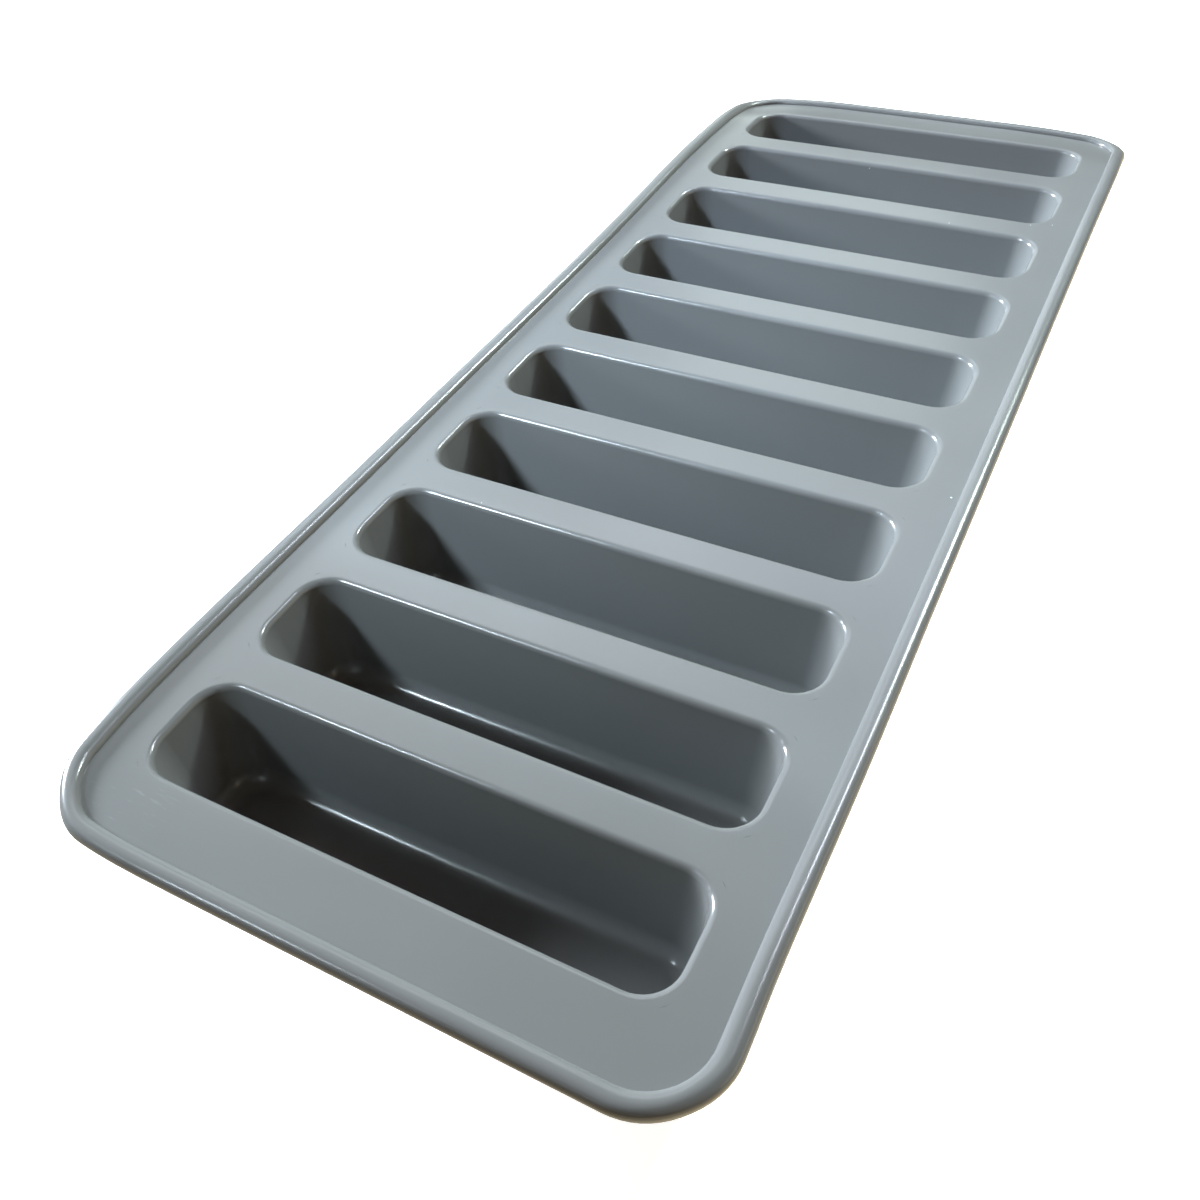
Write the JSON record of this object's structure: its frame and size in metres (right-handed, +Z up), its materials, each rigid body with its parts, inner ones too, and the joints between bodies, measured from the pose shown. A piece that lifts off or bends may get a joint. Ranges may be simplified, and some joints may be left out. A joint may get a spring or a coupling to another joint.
{
  "type": "silicone sausage mould",
  "caption": "Flexible silicone mould for sausages: a row of deep tapered pockets with rounded floors hangs from a flat deck with a round raised rim bead.",
  "frame": {"origin": "below the middle of the tray, in the plane of the pocket undersides that it stands on", "axes": "+X along a pocket, +Y along the row of pockets, from the end nearest the camera to the far end, +Z up out of the pocket mouths"},
  "size_m": [0.1448, 0.3772, 0.0309],
  "materials": {
    "silicone": "satin"
  },
  "bodies": {
    "root": {"deck": "silicone", "rim_bead": "silicone", "pocket_01": "silicone", "pocket_02": "silicone", "pocket_03": "silicone", "pocket_04": "silicone", "pocket_05": "silicone", "pocket_06": "silicone", "pocket_07": "silicone", "pocket_08": "silicone", "pocket_09": "silicone", "pocket_10": "silicone"}
  },
  "joints": []
}
